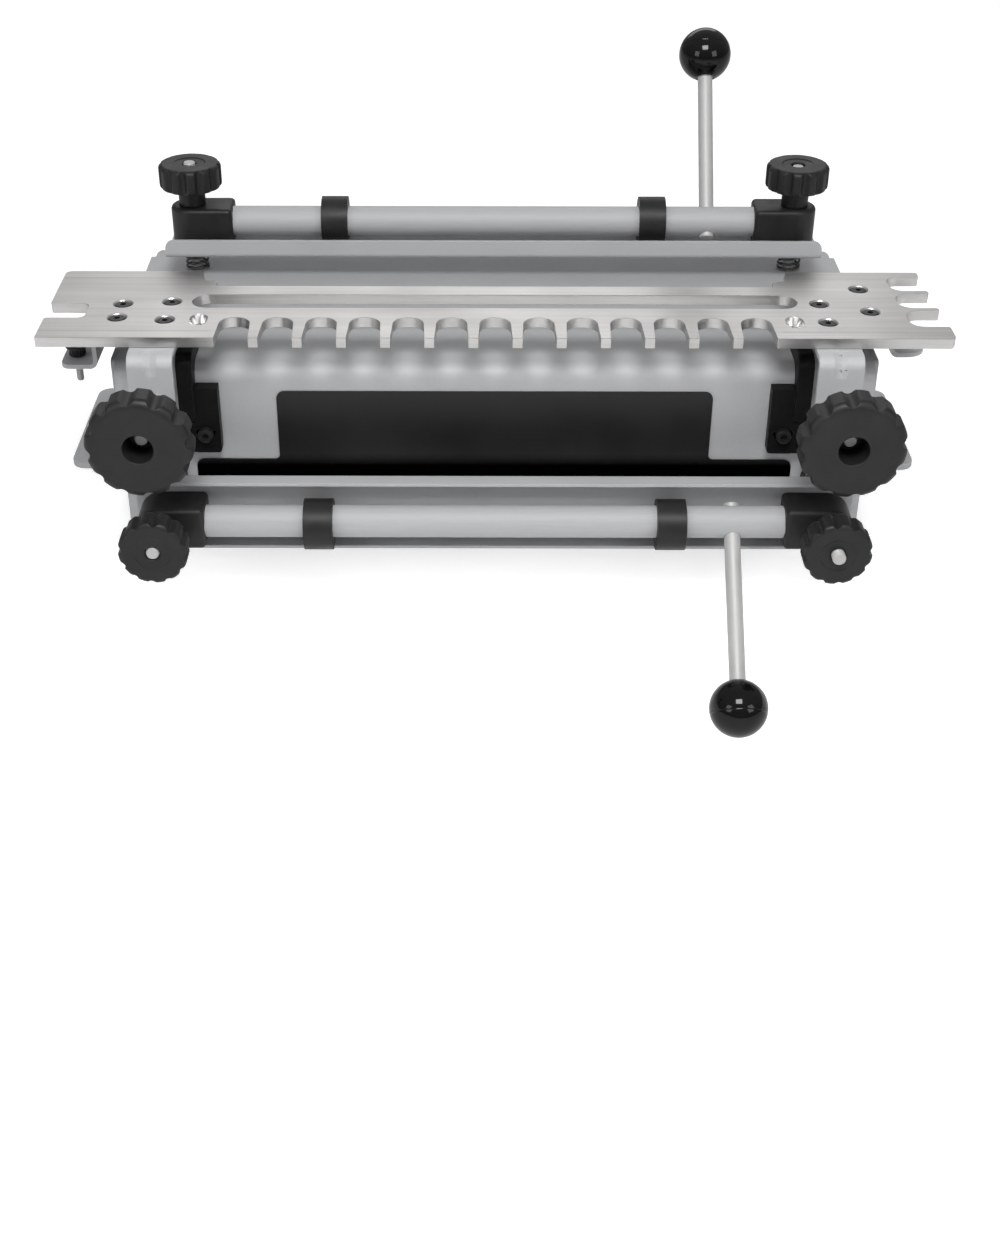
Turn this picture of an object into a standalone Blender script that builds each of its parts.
"""Dovetail jig: a bench-mounted holder with two cam-lever clamps and a finger template.

Axes: X along the jig, +Y to the back, +Z up. The origin is the middle of the
base plate's underside. All sizes are in millimetres; MM turns them into metres.
"""
import math
from collections import namedtuple

import bmesh
import bpy
from mathutils import Matrix, Vector

MM = 0.001
GAP = 0.3                      # clearance between neighbouring pieces
SIDES = ((-1, "left"), (1, "right"))

# ---- dimensions shared between sections -------------------------------------
SHEET = 3.0                    # body sheet thickness
BEND_RADIUS = 10.0             # bend between deck and panel
DECK_Z = 109.5                 # top of the deck that carries the flat board
DECK_REAR_Y = 95.0
PANEL_Y = -93.0                # front face of the panel that carries the upright board

STUD_RADIUS = 3.95             # clamp and template studs (M8)
STUD_BORE = STUD_RADIUS + 0.35
CLAMP_STUD_X = 195.6
UPPER_Y, UPPER_Z = 59.6, 142.0       # upper tube axis
LOWER_Y, LOWER_Z = -150.8, 37.3      # lower tube axis

TEMPLATE_Z = 131.5             # underside of the template
TEMPLATE_THICKNESS = 6.3
TEMPLATE_TOP = TEMPLATE_Z + TEMPLATE_THICKNESS
TEMPLATE_STUD_X, TEMPLATE_STUD_Z = 199.5, 98.3
BRACKET_TOP = TEMPLATE_Z - GAP
BRACKET_SCREWS = [(-193.0, -63.3), (-193.6, -89.7), (193.7, -65.0), (194.7, -92.0)]   # (x, y)
GAUGE_SCREWS = [(-221.7, -66.6), (-222.1, -86.7), (221.0, -42.6), (222.2, -76.3)]     # (x, y)
FORK_FRONT_Y = -129.0
FORK_THICKNESS = 3.0

STOP_X = 173.4                 # board stop screws
STOP_SCREW_Z = 69.4


# ---- scene and materials ----------------------------------------------------
for old in list(bpy.data.objects):
    bpy.data.objects.remove(old, do_unlink=True)

PARTS = bpy.data.collections.new("dovetail_jig")
CUTTERS = bpy.data.collections.new("cutters")
bpy.context.scene.collection.children.link(PARTS)
bpy.context.scene.collection.children.link(CUTTERS)


def material(name, color, roughness, metallic):
    mat = bpy.data.materials.new(name)
    mat.use_nodes = True
    shader = mat.node_tree.nodes["Principled BSDF"]
    shader.inputs["Base Color"].default_value = (*color, 1.0)
    shader.inputs["Roughness"].default_value = roughness
    shader.inputs["Metallic"].default_value = metallic
    return mat


PAINT = material("silver_paint", color=(0.45, 0.46, 0.47), roughness=0.45, metallic=0.35)
ALUMINIUM = material("brushed_aluminium", color=(0.70, 0.70, 0.69), roughness=0.35, metallic=1.0)
SATIN = material("satin_steel", color=(0.55, 0.56, 0.57), roughness=0.35, metallic=0.9)
ZINC = material("zinc_steel", color=(0.75, 0.75, 0.74), roughness=0.25, metallic=1.0)
BLACK = material("black_plastic", color=(0.03, 0.032, 0.032), roughness=0.45, metallic=0.0)
GLOSS = material("gloss_black", color=(0.012, 0.012, 0.013), roughness=0.12, metallic=0.0)
OXIDE = material("black_oxide", color=(0.03, 0.03, 0.03), roughness=0.35, metallic=0.8)
WIRE = material("spring_wire", color=(0.12, 0.12, 0.12), roughness=0.35, metallic=0.9)
DECAL = material("label_black", color=(0.02, 0.02, 0.022), roughness=0.4, metallic=0.0)


# ---- objects and meshes -----------------------------------------------------
SHARP_ANGLE = math.radians(35)


def place(name, mesh, mat=None, at=(0, 0, 0), rotation=(0, 0, 0)):
    """Link a mesh as a part; without a material it becomes a hidden cutter."""
    ob = bpy.data.objects.new(name, mesh)
    ob.location = Vector(at) * MM
    ob.rotation_euler = rotation
    if mat is None:
        CUTTERS.objects.link(ob)
        ob.hide_render = True
        ob.display_type = 'WIRE'
    else:
        PARTS.objects.link(ob)
        mesh.materials.clear()
        mesh.materials.append(mat)
        mesh.shade_smooth()
        mesh.set_sharp_from_angle(angle=SHARP_ANGLE)
    return ob


def mesh_from_bmesh(name, bm):
    mesh = bpy.data.meshes.new(name)
    bm.to_mesh(mesh)
    bm.free()
    return mesh


def mesh_from_curve(name, data):
    """The welded mesh of a curve, with its normals facing out."""
    curve = bpy.data.objects.new(name + "_curve", data)
    bpy.context.scene.collection.objects.link(curve)
    bpy.context.view_layer.update()
    graph = bpy.context.evaluated_depsgraph_get()
    mesh = bpy.data.meshes.new_from_object(curve.evaluated_get(graph))
    bm = bmesh.new()
    bm.from_mesh(mesh)
    bmesh.ops.remove_doubles(bm, verts=bm.verts, dist=1e-6)
    bmesh.ops.recalc_face_normals(bm, faces=bm.faces)
    bm.to_mesh(mesh)
    bm.free()
    bpy.data.objects.remove(curve, do_unlink=True)
    return mesh


def box_cutter(name, low, high):
    bm = bmesh.new()
    size = [(b - a) * MM for a, b in zip(low, high)]
    bmesh.ops.create_cube(bm, size=1.0, matrix=Matrix.Diagonal((*size, 1.0)))
    middle = [(a + b) / 2 for a, b in zip(low, high)]
    return place(name, mesh_from_bmesh(name, bm), at=middle)


# axis: (direction, rotation that turns local Z onto it)
AXES = {"X": (Vector((1, 0, 0)), (0, math.pi / 2, 0)),
        "Y": (Vector((0, 1, 0)), (-math.pi / 2, 0, 0)),
        "-Y": (Vector((0, -1, 0)), (math.pi / 2, 0, 0)),
        "Z": (Vector((0, 0, 1)), (0, 0, 0))}


def rod_cutter(name, radius, low, high, along, at, segments=16):
    """A cylinder from low to high along an axis through the point at."""
    bm = bmesh.new()
    bmesh.ops.create_cone(bm, cap_ends=True, segments=segments, radius1=radius * MM,
                          radius2=radius * MM, depth=(high - low) * MM)
    direction, rotation = AXES[along]
    return place(name, mesh_from_bmesh(name, bm), at=Vector(at) + direction * (low + high) / 2,
                 rotation=rotation)


def turned(name, profile, along, at, mat, steps, closed=False):
    """A turned piece: profile points are (radius, height along the axis)."""
    bm = bmesh.new()
    verts = [bm.verts.new((radius * MM, 0, height * MM)) for radius, height in profile]
    for a, b in zip(verts, verts[1:]):
        bm.edges.new((a, b))
    if closed:
        bm.edges.new((verts[-1], verts[0]))
    ob = place(name, mesh_from_bmesh(name, bm), mat, at, AXES[along][1])
    screw = ob.modifiers.new("turn", 'SCREW')
    screw.axis = 'Z'
    screw.steps = screw.render_steps = steps
    screw.use_merge_vertices = True
    screw.merge_threshold = 0.00001
    screw.use_smooth_shade = True
    return ob


def flat(name, outlines, low, high, plane, mat=None):
    """Filled outlines (the first outside, the rest holes), from low to high thick.

    Plane XY lies flat; XZ stands facing Y; YZ stands facing X."""
    data = bpy.data.curves.new(name, 'CURVE')
    data.dimensions = '2D'
    data.fill_mode = 'BOTH'
    data.extrude = (high - low) / 2 * MM
    for outline in outlines:
        spline = data.splines.new('POLY')
        spline.points.add(len(outline) - 1)
        for point, (x, y) in zip(spline.points, outline):
            point.co = (x * MM, y * MM, 0, 1)
        spline.use_cyclic_u = True
    middle = (low + high) / 2 * MM
    ob = place(name, mesh_from_curve(name, data), mat)
    ob.matrix_world = {
        "XY": Matrix.Translation((0, 0, middle)),
        "XZ": Matrix(((1, 0, 0, 0), (0, 0, -1, middle), (0, 1, 0, 0), (0, 0, 0, 1))),
        "YZ": Matrix(((0, 0, 1, middle), (1, 0, 0, 0), (0, 1, 0, 0), (0, 0, 0, 1))),
    }[plane]
    return ob


def folded(name, path, stations, thickness, along, mat, offset=-1.0):
    """A folded sheet: an open path swept along X or Y, then thickened.

    The path is a list of points, or a function from station to points:
    (y, z) when swept along X, (x, z) when swept along Y."""
    bm = bmesh.new()
    rows = []
    for station in stations:
        line = path(station) if callable(path) else path
        if along == "X":
            points = [(station, y, z) for y, z in line]
        else:
            points = [(x, station, z) for x, z in line]
        rows.append([bm.verts.new((x * MM, y * MM, z * MM)) for x, y, z in points])
    for a, b in zip(rows, rows[1:]):
        for i in range(len(a) - 1):
            bm.faces.new((a[i], a[i + 1], b[i + 1], b[i]))
    ob = place(name, mesh_from_bmesh(name, bm), mat)
    solidify = ob.modifiers.new("sheet", 'SOLIDIFY')
    solidify.thickness = thickness * MM
    solidify.offset = offset
    solidify.use_even_offset = True
    return ob


def loft(bm, rings):
    """Join neighbouring rings of vertices with quads."""
    for low, high in zip(rings, rings[1:]):
        count = len(low)
        for k in range(count):
            after = (k + 1) % count
            bm.faces.new((low[k], low[after], high[after], high[k]))


def add_booleans(ob, name, operation, tools):
    for tool in tools:
        boolean = ob.modifiers.new(name, 'BOOLEAN')
        boolean.operation = operation
        boolean.solver = 'EXACT'
        boolean.object = tool


def cut(ob, *tools):
    add_booleans(ob, "cut", 'DIFFERENCE', tools)


def join(ob, *tools):
    add_booleans(ob, "join", 'UNION', tools)


def move(x, y, z):
    return Matrix.Translation((x * MM, y * MM, z * MM))


# ---- outlines ---------------------------------------------------------------
def span(sign, a, b):
    """The range a..b on the right side (sign 1) or mirrored to the left (sign -1)."""
    return sorted((sign * a, sign * b))


def arc(center_x, center_y, radius, start, end, n):
    """n + 1 points on an arc between two angles in degrees."""
    angles = [math.radians(start + (end - start) * k / n) for k in range(n + 1)]
    return [(center_x + radius * math.cos(a), center_y + radius * math.sin(a)) for a in angles]


def circle(x, y, radius, n):
    angles = [2 * math.pi * k / n for k in range(n)]
    return [(x + radius * math.cos(a), y + radius * math.sin(a)) for a in angles]


def stadium(x, y, half_length, radius, n=6, along_y=False):
    """A slot outline with round ends, centred on x, y."""
    reach = half_length - radius
    points = arc(reach, 0, radius, -90, 90, n) + arc(-reach, 0, radius, 90, 270, n)
    if along_y:
        points = [(-q, p) for p, q in points]
    return [(x + p, y + q) for p, q in points]


def round_poly(corners, n=3):
    """A polygon from (x, y, corner radius); each rounded corner has n segments."""
    out = []
    count = len(corners)
    for i, (x, y, radius) in enumerate(corners):
        if not radius:
            out.append((x, y))
            continue
        before, corner, after = (Vector(corners[j % count][:2]) for j in (i - 1, i, i + 1))
        to_before = (before - corner).normalized()
        to_after = (after - corner).normalized()
        half = math.acos(max(-1, min(1, to_before.dot(to_after)))) / 2
        # an arc may use up to 49 % of each neighbouring side
        setback = min(radius / math.tan(half), (before - corner).length * 0.49,
                      (after - corner).length * 0.49)
        fitted = setback * math.tan(half)
        middle = corner + (to_before + to_after).normalized() * (fitted / math.sin(half))
        start = corner + to_before * setback - middle
        end = corner + to_after * setback - middle
        turn = math.atan2(start.x * end.y - start.y * end.x, start.dot(end))
        for k in range(n + 1):
            c, s = math.cos(turn * k / n), math.sin(turn * k / n)
            out.append((middle.x + start.x * c - start.y * s,
                        middle.y + start.x * s + start.y * c))
    return out


# ---- base and body ----------------------------------------------------------
BASE_THICKNESS = 4.0
BASE_FRONT_Y = -88.0
BASE_HALF = 222.0
EAR_FRONT_Y = -17.9
EAR_HALF = 278.4
EAR_SLOT_X = 256.0
EAR_SLOT_YS = (8.0, 68.0)
EAR_SLOT_HALF, EAR_SLOT_RADIUS = 9.0, 3.6
# (x, y, corner radius)
BASE_OUTLINE = [(-BASE_HALF, BASE_FRONT_Y, 4), (BASE_HALF, BASE_FRONT_Y, 4),
                (BASE_HALF, EAR_FRONT_Y, 6), (EAR_HALF, EAR_FRONT_Y, 9),
                (EAR_HALF, DECK_REAR_Y, 9), (-EAR_HALF, DECK_REAR_Y, 9),
                (-EAR_HALF, EAR_FRONT_Y, 9), (-BASE_HALF, EAR_FRONT_Y, 6)]

PANEL_HALF = 226.6             # half width of the folded sheet
PANEL_BOTTOM_Z = 1.0
DECK_CORNER = 12.0             # rounding of the deck's rear corners
LIP_BEND = 6.0                 # bend into the deck's rear lip
LIP_BOTTOM_Z = 84.0
CHEEK_HALF = 229.9             # outer face of the side cheeks
CHEEK_TOP = DECK_Z - 0.2
CHEEK_BOTTOM = BASE_THICKNESS + GAP
CHEEK_REAR_Y = DECK_REAR_Y - DECK_CORNER - 1
# (y, z, corner radius)
CHEEK_OUTLINE = [(-83.0, CHEEK_TOP, 1), (-83.0, 70.0, 10), (-38.0, CHEEK_BOTTOM, 6),
                 (CHEEK_REAR_Y, CHEEK_BOTTOM, 1), (CHEEK_REAR_Y, CHEEK_TOP, 1)]
DECK_CUT = (95, 115)           # z range of the cutters through the deck
PANEL_CUT = (-97, -86)         # y range of the cutters through the panel
CORNER_CUT = (78, 115)         # z range of the corner cutters

# right half of the stepped label, downwards: (x, z, corner radius)
LABEL_HALF = [(130.8, 93.6, 5), (130.8, 48.0, 3), (181.8, 48.0, 5), (181.8, 22.0, 4)]
LABEL_THICKNESS = 0.5


def base_plate():
    slots = [stadium(sign * EAR_SLOT_X, y, EAR_SLOT_HALF, EAR_SLOT_RADIUS)
             for sign in (-1, 1) for y in EAR_SLOT_YS]
    flat("base_plate", [round_poly(BASE_OUTLINE)] + slots, 0.0, BASE_THICKNESS, "XY", PAINT)


def corner_cutter(sign, side):
    """What lies outside the rounding of one rear deck corner."""
    x, y = PANEL_HALF - DECK_CORNER, DECK_REAR_Y - DECK_CORNER
    outline = ([(PANEL_HALF + 2, y), (PANEL_HALF + 2, DECK_REAR_Y + 2), (x, DECK_REAR_Y + 2)]
               + arc(x, y, DECK_CORNER, 90, 0, 6))
    mirrored = [(sign * px, py) for px, py in outline][::sign]
    return flat("corner_" + side[0], [mirrored], *CORNER_CUT, "XY")


def body_shell():
    path = ([(DECK_REAR_Y, LIP_BOTTOM_Z)]
            + arc(DECK_REAR_Y - LIP_BEND, DECK_Z - LIP_BEND, LIP_BEND, 0, 90, 4)
            + arc(PANEL_Y + BEND_RADIUS, DECK_Z - BEND_RADIUS, BEND_RADIUS, 90, 180, 6)
            + [(PANEL_Y, PANEL_BOTTOM_Z)])
    body = folded("body_shell", path, [-PANEL_HALF, PANEL_HALF], SHEET, "X", PAINT)
    cheek = round_poly(CHEEK_OUTLINE)
    for sign, side in SIDES:
        # each cheek overlaps the sheet by 1 mm
        join(body, flat("cheek_" + side[0], [cheek], *span(sign, PANEL_HALF - 1.0, CHEEK_HALF),
                        "YZ"))
    for sign, side in SIDES:
        cut(body, corner_cutter(sign, side))
    for sign, side in SIDES:
        # (cutter name, radius, y or z range, axis, point on the axis, segments)
        holes = [
            ("h_up_", STUD_BORE, DECK_CUT, "Z", (sign * CLAMP_STUD_X, UPPER_Y, 0), 16),
            ("h_low_", STUD_BORE, PANEL_CUT, "Y", (sign * CLAMP_STUD_X, 0, LOWER_Z), 16),
            ("h_big_", STUD_BORE, PANEL_CUT, "Y",
             (sign * TEMPLATE_STUD_X, 0, TEMPLATE_STUD_Z), 16),
            ("h_stop_", 2.95, PANEL_CUT, "Y", (sign * STOP_X, 0, STOP_SCREW_Z), 12),
        ]
        for name, radius, depth, along, at, segments in holes:
            cut(body, rod_cutter(name + side[0], radius, *depth, along, at, segments))


def name_label():
    outline = round_poly([(-x, z, r) for x, z, r in LABEL_HALF] + LABEL_HALF[::-1])
    back = PANEL_Y - GAP
    flat("name_label", [outline], back - LABEL_THICKNESS, back, "XZ", DECAL)


base_plate()
body_shell()
name_label()


# ---- studs ------------------------------------------------------------------
UPPER_TIPS = {"left": 39.2, "right": 37.2}    # stud tips beyond the tube axis
LOWER_TIPS = {"left": 38.2, "right": 43.0}
TEMPLATE_STUD_TIP = 166.0      # distance in front of y = 0
STUD_CHAMFER = 0.8
NUT_RADIUS, NUT_HEIGHT = 7.4, 6.5
COLLAR_RADIUS = 7.0


def stud(name, along, at, tip, nut_top, foot_drop, collar=None):
    """A stud with its nut, and a collar from collar[0] down to collar[1] if given.

    Heights run along the axis; the foot lies foot_drop below the nut's top."""
    nut_low, foot = nut_top - NUT_HEIGHT, nut_top - foot_drop
    r = STUD_RADIUS
    profile = [(0, tip), (r - STUD_CHAMFER, tip), (r, tip - STUD_CHAMFER)]
    if collar:
        high, low = collar
        profile += [(r, high), (COLLAR_RADIUS, high), (COLLAR_RADIUS, low), (r, low)]
    profile += [(r, nut_top), (NUT_RADIUS, nut_top), (NUT_RADIUS, nut_low), (r, nut_low),
                (r, foot), (0, foot)]
    turned(name, profile, along, at, ZINC, steps=12)


def studs(sign, side):
    under_deck = DECK_Z - SHEET - GAP
    behind_panel = -(PANEL_Y + SHEET + GAP)
    behind_fork = -FORK_FRONT_Y - FORK_THICKNESS
    stud("upper_stud_" + side, "Z", (sign * CLAMP_STUD_X, UPPER_Y, 0),
         UPPER_Z + UPPER_TIPS[side], under_deck, 10)
    stud("lower_stud_" + side, "-Y", (sign * CLAMP_STUD_X, 0, LOWER_Z),
         -LOWER_Y + LOWER_TIPS[side], behind_panel, 9)
    stud("template_stud_" + side, "-Y", (sign * TEMPLATE_STUD_X, 0, TEMPLATE_STUD_Z),
         TEMPLATE_STUD_TIP, behind_panel - 4.5, 9,
         collar=(behind_fork - GAP, behind_fork - 6.8))


for sign, side in SIDES:
    studs(sign, side)


# ---- board stops ------------------------------------------------------------
STOP_BACK_Y = PANEL_Y - GAP    # face against the panel
STOP_REAR_Y = -55.0            # end of the arm over the deck
STOP_ARM_TOP = DECK_Z + 10
STOP_PAD_X = 164.6             # inner edge of the pad
STOP_IN_X, STOP_OUT_X = 178.4, 188.0
STOP_PAD_THICKNESS = 8
STOP_BOTTOM_Z = 56.0
STOP_PAD_TOP_Z = 99.0
STOP_SLOT_RADIUS = 2.9
STOP_TRAVEL = 3.0
STOP_SCREW_FOOT = 84.0         # distance in front of y = 0
# (y, z, corner radius)
STOP_OUTLINE = [(STOP_BACK_Y, STOP_BOTTOM_Z, 0), (STOP_REAR_Y, DECK_Z + GAP, 0),
                (STOP_REAR_Y, STOP_ARM_TOP, 2), (STOP_BACK_Y - 10, STOP_ARM_TOP, 8),
                (STOP_BACK_Y - 10, 79.0, 0), (STOP_BACK_Y - 7.9, 77.0, 0),
                (STOP_BACK_Y - 7.9, STOP_BOTTOM_Z, 0.8)]


def board_stop(sign, side):
    """A hook round the panel's top bend, with a slotted pad towards the middle."""
    outer = round_poly(STOP_OUTLINE, 4)
    bend = arc(PANEL_Y + BEND_RADIUS, DECK_Z - BEND_RADIUS, BEND_RADIUS + GAP, 180, 90, 6)
    stop = flat("board_stop_" + side, [outer[:1] + bend + outer[1:]],
                *span(sign, STOP_OUT_X, STOP_IN_X), "YZ", BLACK)
    low_x, high_x = span(sign, STOP_IN_X + 1.0, STOP_PAD_X)
    join(stop, box_cutter("stop_pad_" + side,
                          (low_x, STOP_BACK_Y - STOP_PAD_THICKNESS, STOP_BOTTOM_Z + 0.3),
                          (high_x, STOP_BACK_Y - 0.05, STOP_PAD_TOP_Z)))
    slot = stadium(sign * STOP_X, STOP_SCREW_Z, STOP_SLOT_RADIUS + STOP_TRAVEL,
                   STOP_SLOT_RADIUS, 4)
    cut(stop, flat("stop_slot_" + side, [slot], STOP_BACK_Y - 15, STOP_BACK_Y + 3, "XZ"))


def stop_screw(sign, side):
    head = -(STOP_BACK_Y - STOP_PAD_THICKNESS - GAP)
    profile = [(0, head + 2.2), (1.6, head + 2.2), (1.6, head + 4.4), (3.9, head + 4.4),
               (4.6, head + 3.6), (4.6, head), (2.55, head), (2.55, STOP_SCREW_FOOT),
               (0, STOP_SCREW_FOOT)]
    turned("stop_screw_" + side, profile, "-Y", (sign * STOP_X, 0, STOP_SCREW_Z), OXIDE, steps=12)


for sign, side in SIDES:
    board_stop(sign, side)
    stop_screw(sign, side)


# ---- knobs ------------------------------------------------------------------
KNOB_LOBES = 12
KNOB_SEGMENTS = KNOB_LOBES * 2


def knob(name, matrix, body_radius, neck_radius, neck, height, dip, recess=None):
    """A scalloped knob standing on its neck at local z = 0, bored for a stud.

    dip is the scallops' depth; recess is the (radius, depth) of the top pocket."""
    top = neck + height
    # (radius, height, share of the scallop), up the outside and down the bore
    sections = [(neck_radius, 0, 0), (neck_radius, neck - 1.0, 0),
                (body_radius - 1.0, neck + 1.5, 1), (body_radius, neck + height * 0.45, 1),
                (body_radius - 0.8, top - 3.5, 1), (body_radius - 5.5, top, 0)]
    if recess:
        pocket_radius, depth = recess
        sections += [(pocket_radius, top, 0), (pocket_radius, top - depth, 0),
                     (STUD_BORE, top - depth, 0)]
    else:
        sections += [(STUD_BORE, top, 0)]
    sections += [(STUD_BORE, 0, 0)]
    bm = bmesh.new()
    rings = []
    for radius, z, share in sections:
        ring = []
        for k in range(KNOB_SEGMENTS):
            a = 2 * math.pi * k / KNOB_SEGMENTS
            r = radius - share * dip * (0.5 - 0.5 * math.cos(KNOB_LOBES * a)) ** 0.8
            ring.append(bm.verts.new((r * math.cos(a) * MM, r * math.sin(a) * MM, z * MM)))
        rings.append(ring)
    loft(bm, rings + rings[:1])
    bmesh.ops.recalc_face_normals(bm, faces=bm.faces)
    place(name, mesh_from_bmesh(name, bm), BLACK).matrix_world = matrix


# ---- clamps -----------------------------------------------------------------
# Each clamp is drawn in its own axes: x along the jig, a across the bar and n
# outward from the work face, with the tube's axis at a = n = 0.
TUBE_RADIUS = 9.5
TUBE_WALL = 2.2
TUBE_HALF = 180.0
CAM_RADIUS = 15.1
CAM_OFFSET = 2.0               # cam centre to tube axis
CAM_WIDTH = 17.0
CAM_X = 103.2

BAR_HALF = 212.4               # pressure bar half length
BAR_HALF_WIDTH = 22.0          # over the flanges
BAR_HEIGHT = 12.2              # flange height
BAR_SHEET = 2.0
BAR_BEND = 3.5
BAR_INSETS = [0.0, 0.5, 1.6, 3.3, 5.5]     # stations in from each end
BAR_END_RADIUS = 5.5           # rounding of the flanges' ends
WEB_TOP = 15.6                 # tube axis to the web's inner face
WEB_BOTTOM = -WEB_TOP - BAR_SHEET

BLOCK_IN_X = 169.2
BLOCK_RADIUS = 13.0            # across the bar
BLOCK_OUT_RADIUS = 14.0        # outward along x
BLOCK_TOP = 11.5               # above the tube axis
BLOCK_BOTTOM = 13.9            # below the tube axis

LEVER_X = 139.2
LEVER_LENGTH = 112.4           # tube axis to ball centre
LEVER_RADIUS = 4.75
LEVER_INSERT = 8.0             # rod's reach into the ball
LEVER_FOOT = -11.5
BALL_RADIUS = 17.3
BALL_FLAT = 1.2                # depth of the flat on the ball's underside

SPRING_RADIUS = 7.0
SPRING_WIRE = 0.8              # wire radius

# away: side the lever leans to, 1 for +a and -1 for -a; lean: degrees from n;
# face: tube axis to the work face; turns and per_turn: the spring's coils
Clamp = namedtuple("Clamp", "kind frame away lean face turns per_turn")
CLAMPS = [
    # a = +Y, n = +Z
    Clamp("upper", move(0, UPPER_Y, UPPER_Z), away=1, lean=37.9,
          face=UPPER_Z - DECK_Z, turns=3.5, per_turn=10),
    # a = +Z, n = -Y
    Clamp("lower", Matrix(((1, 0, 0, 0), (0, 0, -1, LOWER_Y * MM),
                           (0, 1, 0, LOWER_Z * MM), (0, 0, 0, 1))),
          away=-1, lean=41.2, face=PANEL_Y - LOWER_Y, turns=7, per_turn=8),
]


def on_clamp(clamp, ob):
    """Carry an object drawn in the clamp's axes to its place on the jig."""
    ob.matrix_world = clamp.frame @ ob.matrix_basis
    return ob


def bar_section(x):
    """The U section (a, n) at x; its flanges are lower in the rounded ends."""
    inset = min(BAR_HALF - abs(x), BAR_END_RADIUS)
    drop = BAR_END_RADIUS - math.sqrt(BAR_END_RADIUS ** 2 - (BAR_END_RADIUS - inset) ** 2)
    top = WEB_BOTTOM + BAR_HEIGHT - drop
    bend_a, bend_n = BAR_HALF_WIDTH - BAR_BEND, WEB_BOTTOM + BAR_BEND
    return ([(-BAR_HALF_WIDTH, top)] + arc(-bend_a, bend_n, BAR_BEND, 180, 270, 3)
            + arc(bend_a, bend_n, BAR_BEND, 270, 360, 3) + [(BAR_HALF_WIDTH, top)])


def pressure_bar(clamp):
    """A U channel with its web towards the work."""
    stations = [-BAR_HALF + d for d in BAR_INSETS] + [BAR_HALF - d for d in BAR_INSETS[::-1]]
    bar = folded(clamp.kind + "_pressure_bar", bar_section, stations, BAR_SHEET, "X", PAINT)
    on_clamp(clamp, bar)
    for i, sign in enumerate((-1, 1)):
        hole = rod_cutter(f"{clamp.kind}_bar_hole_{i}", STUD_RADIUS + 0.75, -25, -10, "Z",
                          (sign * CLAMP_STUD_X, 0, 0))
        cut(bar, on_clamp(clamp, hole))


def end_block(clamp, sign, side):
    """A block rounded about the stud and bored for the tube's end."""
    stretch = BLOCK_OUT_RADIUS / BLOCK_RADIUS
    rounded = [(CLAMP_STUD_X + max(x, 0) * stretch, a)
               for x, a in arc(0, 0, BLOCK_RADIUS, -90, 90, 10)]
    outline = [(BLOCK_IN_X, BLOCK_RADIUS), (BLOCK_IN_X, -BLOCK_RADIUS)] + rounded
    outline = [(sign * x, a) for x, a in outline][::sign]
    hole = circle(sign * CLAMP_STUD_X, 0, STUD_RADIUS + 0.4, 16)
    block = flat(f"{clamp.kind}_end_block_{side}", [outline, hole], -BLOCK_BOTTOM, BLOCK_TOP,
                 "XY", BLACK)
    on_clamp(clamp, block)
    bore = rod_cutter(f"{clamp.kind}_bore_{side}", TUBE_RADIUS + 0.35,
                      *span(sign, BLOCK_IN_X - 3, TUBE_HALF + 0.6), "X", (0, 0, 0), segments=24)
    cut(block, on_clamp(clamp, bore))


def cam_tube(clamp, lever_frame):
    inner = TUBE_RADIUS - TUBE_WALL
    profile = [(TUBE_RADIUS, TUBE_HALF), (TUBE_RADIUS, -TUBE_HALF),
               (inner, -TUBE_HALF), (inner, TUBE_HALF)]
    tube = turned(clamp.kind + "_cam_tube", profile, "X", (0, 0, 0), SATIN, steps=24, closed=True)
    on_clamp(clamp, tube)
    hole = rod_cutter(clamp.kind + "_lever_hole", LEVER_RADIUS + 0.25, -15, 15, "Z", (0, 0, 0))
    hole.matrix_world = lever_frame
    cut(tube, hole)


def cam(clamp, sign, side):
    """An eccentric ring round the tube, offset to the side the lever leans to."""
    outlines = [circle(CAM_OFFSET * clamp.away, 0, CAM_RADIUS, 24),
                circle(0, 0, TUBE_RADIUS + 0.3, 24)]
    middle = sign * CAM_X
    on_clamp(clamp, flat(f"{clamp.kind}_cam_{side}", outlines, middle - CAM_WIDTH / 2,
                         middle + CAM_WIDTH / 2, "YZ", BLACK))


def lever_rod(clamp, lever_frame):
    top = LEVER_LENGTH - BALL_RADIUS + LEVER_INSERT
    profile = [(0, top), (LEVER_RADIUS, top), (LEVER_RADIUS, LEVER_FOOT + 0.9),
               (LEVER_RADIUS - 1.2, LEVER_FOOT), (0, LEVER_FOOT)]
    rod = turned(clamp.kind + "_lever_rod", profile, "Z", (0, 0, 0), ZINC, steps=16)
    rod.matrix_world = lever_frame


def lever_ball(clamp, lever_frame):
    base = -BALL_RADIUS + BALL_FLAT
    base_angle = math.degrees(math.asin(base / BALL_RADIUS))
    bore = LEVER_RADIUS + GAP
    bore_end = -BALL_RADIUS + LEVER_INSERT + GAP
    profile = ([(0, BALL_RADIUS)] + arc(0, 0, BALL_RADIUS, 90, base_angle, 8)[1:]
               + [(bore, base), (bore, bore_end), (0, bore_end)])
    ball = turned(clamp.kind + "_lever_ball", profile, "Z", (0, 0, 0), GLOSS, steps=18)
    ball.matrix_world = lever_frame @ move(0, 0, LEVER_LENGTH)


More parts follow.
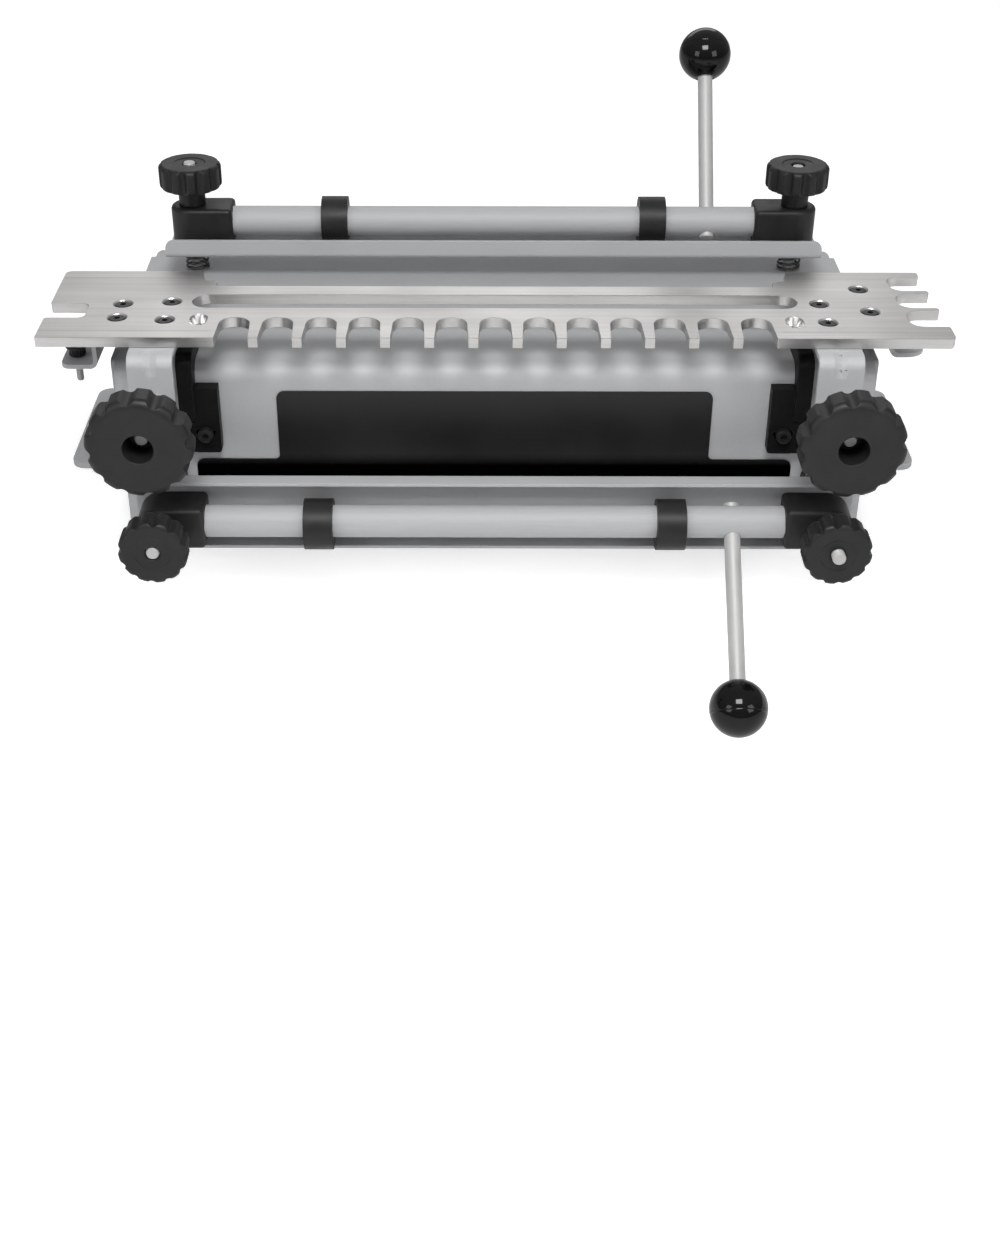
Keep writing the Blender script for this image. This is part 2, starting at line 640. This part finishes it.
def spring(clamp, sign, side):
    """A coil round the stud, between the work face and the bar."""
    name = f"{clamp.kind}_spring_{side}"
    low, high = -clamp.face + GAP, WEB_BOTTOM - GAP
    data = bpy.data.curves.new(name, 'CURVE')
    data.dimensions = '3D'
    data.bevel_depth = SPRING_WIRE * MM
    data.bevel_resolution = 0
    data.use_fill_caps = True
    n = int(clamp.turns * clamp.per_turn)
    spline = data.splines.new('POLY')
    spline.points.add(n)
    for k, point in enumerate(spline.points):
        a = 2 * math.pi * k / clamp.per_turn
        z = low + SPRING_WIRE + (high - low - 2 * SPRING_WIRE) * (k / n)
        point.co = (SPRING_RADIUS * math.cos(a) * MM, SPRING_RADIUS * math.sin(a) * MM, z * MM, 1)
    coil = place(name, mesh_from_curve(name, data), WIRE)
    coil.matrix_world = clamp.frame @ move(sign * CLAMP_STUD_X, 0, 0)


def clamp_knob(clamp, sign, side):
    knob(f"{clamp.kind}_knob_{side}",
         clamp.frame @ move(sign * CLAMP_STUD_X, 0, BLOCK_TOP + GAP),
         body_radius=20.0, neck_radius=8.6, neck=11.3, height=15.7, dip=1.7)


for clamp in CLAMPS:
    tilt = Matrix.Rotation(-clamp.away * math.radians(clamp.lean), 4, 'X')
    lever_frame = clamp.frame @ (move(LEVER_X, 0, 0) @ tilt)
    pressure_bar(clamp)
    cam_tube(clamp, lever_frame)
    lever_rod(clamp, lever_frame)
    lever_ball(clamp, lever_frame)
    for sign, side in SIDES:
        end_block(clamp, sign, side)
        cam(clamp, sign, side)
        spring(clamp, sign, side)
        clamp_knob(clamp, sign, side)


# ---- template ---------------------------------------------------------------
TEMPLATE_HALF = 265.0          # half length
TEMPLATE_DEPTH = 99.0
TEMPLATE_FRONT_Y = -115.0
PITCH = 25.4                   # finger pitch: one inch
FINGERS = 12
TIP_WIDTH = 5.8
NECK_WIDTH = 7.3
NOTCH_DEPTH = 29.0
SLOT_DEPTH = 52.7              # long slot's centre, from the front edge
SLOT_HALF, SLOT_RADIUS = 181.0, 9.9
OBLONGS = [(-173.9, -89.6), (175.3, -91.9)]    # (x, y)
# the outline behind the fingers, from the front right corner round to the left
# end: (x, distance from the front edge, corner radius)
TEMPLATE_TAIL = [
    (TEMPLATE_HALF, 0, 1.5), (TEMPLATE_HALF, 17.5, 0), (242.5, 17.5, 8.5), (242.5, 40.0, 8.5),
    (263.6, 40.0, 0), (263.6, 44.6, 0), (241.0, 44.6, 8.5), (241.0, 65.7, 8.5),
    (262.6, 65.7, 0), (262.6, 70.4, 0), (240.5, 70.4, 8.5), (240.5, 91.9, 8.5),
    (261.6, 91.9, 0), (261.6, TEMPLATE_DEPTH, 1.5), (180.0, TEMPLATE_DEPTH, 0),
    (177.0, 84.0, 2.0), (170.0, 83.0, 0), (170.0, 75.8, 0),
    (-170.0, 75.8, 0), (-170.0, 83.0, 0), (-177.0, 84.0, 2.0),
    (-180.0, TEMPLATE_DEPTH, 0), (-TEMPLATE_HALF, TEMPLATE_DEPTH, 3.0),
    (-TEMPLATE_HALF, 48.5, 0), (-241.5, 48.5, 4.5), (-241.5, 28.1, 4.5),
    (-TEMPLATE_HALF, 28.1, 0),
]


def template_outline():
    points = [(-TEMPLATE_HALF, 0.0)]
    half_mouth, half_neck = (PITCH - TIP_WIDTH) / 2, (PITCH - NECK_WIDTH) / 2
    for i in range(FINGERS + 1):
        x = (i - FINGERS / 2) * PITCH
        # the roots lie on a hair-fine curve, so no three of them share one line
        root = NOTCH_DEPTH - 3e-6 * x * x
        points.append((x - half_mouth, 0.0))
        points += arc(x, root - half_neck, half_neck, 180, 0, 6)
        points.append((x + half_mouth, 0.0))
    outline = round_poly([(x, y, 0) for x, y in points] + TEMPLATE_TAIL)
    return [(x, y + TEMPLATE_FRONT_Y) for x, y in outline]


def oblong_cutter(name, x, y):
    """A countersunk oblong hole: a wide rim that narrows towards the underside."""
    bm = bmesh.new()
    rings = []
    # (half length, radius, z)
    for half_length, radius, z in ((8.4, 5.7, TEMPLATE_TOP + 1), (5.6, 2.9, TEMPLATE_Z + 1.6),
                                   (5.6, 2.9, TEMPLATE_Z - 1)):
        outline = stadium(x, y, half_length, radius, 4, along_y=True)
        rings.append([bm.verts.new((px * MM, py * MM, z * MM)) for px, py in outline])
    loft(bm, rings)
    bm.faces.new(rings[0])
    bm.faces.new(rings[-1][::-1])
    bmesh.ops.recalc_face_normals(bm, faces=bm.faces)
    return place(name, mesh_from_bmesh(name, bm))


def template_plate():
    plate = flat("template_plate", [template_outline()], TEMPLATE_Z, TEMPLATE_TOP, "XY", ALUMINIUM)
    # one face on top and one underneath, so the cuts stay clean
    bm = bmesh.new()
    bm.from_mesh(plate.data)
    bmesh.ops.dissolve_limit(bm, angle_limit=0.01, verts=bm.verts, edges=bm.edges,
                             use_dissolve_boundaries=False)
    bm.to_mesh(plate.data)
    bm.free()
    slot = stadium(0, TEMPLATE_FRONT_Y + SLOT_DEPTH, SLOT_HALF, SLOT_RADIUS)
    cut(plate, flat("template_slot", [slot], TEMPLATE_Z - 2, TEMPLATE_TOP + 2, "XY"))
    top = TEMPLATE_TOP
    sink = [(0, top + 1), (5.85, top + 1), (5.25, top - 0.4), (2.8, TEMPLATE_Z + 3.4),
            (2.8, TEMPLATE_Z - 1), (0, TEMPLATE_Z - 1)]
    for i, (x, y) in enumerate(BRACKET_SCREWS + GAUGE_SCREWS):
        cut(plate, turned(f"sink_{i}", sink, "Z", (x, y, 0), None, steps=12))
    for i, (x, y) in enumerate(OBLONGS):
        cut(plate, oblong_cutter(f"oblong_{i}", x, y))


def sunk_screws(name, places, foot):
    """Countersunk screws just below the template's top face."""
    top = TEMPLATE_TOP - GAP
    profile = [(0, top - 2.2), (1.7, top - 2.2), (1.7, top), (4.75, top), (4.75, top - 0.5),
               (2.45, TEMPLATE_Z + 3.4), (2.45, foot), (0, foot)]
    for i, (x, y) in enumerate(places):
        turned(f"{name}_{i + 1}", profile, "Z", (x, y, 0), OXIDE, steps=12)


template_plate()
sunk_screws("bracket_screw", BRACKET_SCREWS, TEMPLATE_Z - 5.0)
sunk_screws("gauge_screw", GAUGE_SCREWS, TEMPLATE_Z - 12.5)


# ---- brackets under the template --------------------------------------------
FORK_X = 198.0                 # middle of each fork bracket
FORK_HALF = 13.0
FORK_BACK_Y = -55.0
FORK_BOTTOM_Z = 62.0
FORK_BEND = 7
FORK_SLOT_RADIUS = 4.9
FORK_SLOT_TOP_Z = 110.0
GAUGE_SHEET = 2.6
# sign: (side, height of the shelf, y stations)
GAUGE_BRACKETS = {-1: ("left", 110.5, [-94.0, -58.0]), 1: ("right", 114.5, [-84.0, -35.0])}
GAUGE_STUD_AT = (-249.5, -80.0, 0)


def screw_hole(name, x, y):
    return rod_cutter(name, 2.75, BRACKET_TOP - 6, BRACKET_TOP + 3, "Z", (x, y, 0), segments=12)


def fork_bracket(sign, side):
    """An angle bracket whose front leg has a slot open at the bottom."""
    path = ([(FORK_BACK_Y, BRACKET_TOP)]
            + arc(FORK_FRONT_Y + FORK_BEND, BRACKET_TOP - FORK_BEND, FORK_BEND, 90, 180, 5)
            + [(FORK_FRONT_Y, FORK_BOTTOM_Z)])
    fork = folded("fork_bracket_" + side, path,
                  [sign * FORK_X - FORK_HALF, sign * FORK_X + FORK_HALF],
                  FORK_THICKNESS, "X", PAINT)
    x, low = sign * TEMPLATE_STUD_X, FORK_BOTTOM_Z - 5
    slot = ([(x - FORK_SLOT_RADIUS, low), (x + FORK_SLOT_RADIUS, low)]
            + arc(x, FORK_SLOT_TOP_Z - FORK_SLOT_RADIUS, FORK_SLOT_RADIUS, 0, 180, 8))
    cut(fork, flat("fork_slot_" + side, [slot], FORK_FRONT_Y - 3, FORK_FRONT_Y + 6, "XZ"))
    for i, (x, y) in enumerate(BRACKET_SCREWS):
        if x * sign > 0:
            cut(fork, screw_hole(f"fork_hole_{i}", x, y))


def gauge_bracket(sign):
    """A stepped bracket under the template's end, with a low outer shelf."""
    side, shelf, stations = GAUGE_BRACKETS[sign]
    path = [(213.5, BRACKET_TOP), (236.0, BRACKET_TOP), (237.5, BRACKET_TOP - 1.5),
            (237.5, shelf + 1.5), (239.0, shelf), (257.5, shelf)]
    bracket = folded("gauge_bracket_" + side, [(sign * x, z) for x, z in path], stations,
                     GAUGE_SHEET, "Y", PAINT, offset=-sign)
    for i, (x, y) in enumerate(GAUGE_SCREWS):
        if x * sign > 0:
            cut(bracket, screw_hole(f"gauge_hole_{i}", x, y))
    return bracket


def gauge_hardware():
    """The left bracket's stud, its two nuts and the nuts on the left gauge screws."""
    turned("gauge_stud",
           [(0, 123.0), (1.9, 123.0), (2.2, 122.5), (2.2, 107.5), (3.6, 107.5), (3.6, 104.8),
            (2.2, 104.8), (2.2, 95.0), (1.9, 94.5), (0, 94.5)],
           "Z", GAUGE_STUD_AT, ZINC, steps=14)
    turned("gauge_thumb_nut",
           [(4.4, 115.6), (5.0, 115.0), (5.0, 111.4), (4.4, 110.8), (2.45, 110.8), (2.45, 115.6)],
           "Z", GAUGE_STUD_AT, OXIDE, steps=12, closed=True)
    turned("gauge_flange_nut",
           [(4.2, 121.0), (4.4, 120.6), (4.4, 117.6), (6.8, 117.0), (6.8, 115.9), (2.45, 115.9),
            (2.45, 121.0)],
           "Z", GAUGE_STUD_AT, OXIDE, steps=12, closed=True)
    high, low = BRACKET_TOP - 2.9, BRACKET_TOP - 7.4
    for i, (x, y) in enumerate(GAUGE_SCREWS[:2]):
        turned(f"gauge_screw_nut_{i + 1}", [(4.6, high), (4.6, low), (2.95, low), (2.95, high)],
               "Z", (x, y, 0), OXIDE, steps=6, closed=True)


for sign, side in SIDES:
    fork_bracket(sign, side)
left_gauge = gauge_bracket(-1)
gauge_bracket(1)
cut(left_gauge, rod_cutter("gauge_stud_hole", 2.5, 100, 115, "Z", GAUGE_STUD_AT, segments=12))
gauge_hardware()


# ---- template knobs ---------------------------------------------------------
KNOB_FACE_Y = -178.8           # front face of the template knobs
KNOB_NECK = 28.0
WASHER_RADIUS, WASHER_THICKNESS = 12.0, 2.0


def template_knob(sign, side):
    """A washer in front of the fork bracket and a large knob in front of that."""
    x = sign * TEMPLATE_STUD_X
    low = -FORK_FRONT_Y + GAP
    high = low + WASHER_THICKNESS
    turned("template_washer_" + side,
           [(WASHER_RADIUS, high), (WASHER_RADIUS, low), (STUD_BORE, low), (STUD_BORE, high)],
           "-Y", (x, 0, TEMPLATE_STUD_Z), ZINC, steps=18, closed=True)
    foot = high + GAP
    facing_front = move(x, 0, TEMPLATE_STUD_Z) @ Matrix.Rotation(math.pi / 2, 4, 'X')
    knob("template_knob_" + side, facing_front @ move(0, 0, foot), body_radius=30.4,
         neck_radius=11.5, neck=KNOB_NECK, height=-KNOB_FACE_Y - foot - KNOB_NECK, dip=2.0,
         recess=(8.6, 20.0))


for sign, side in SIDES:
    template_knob(sign, side)
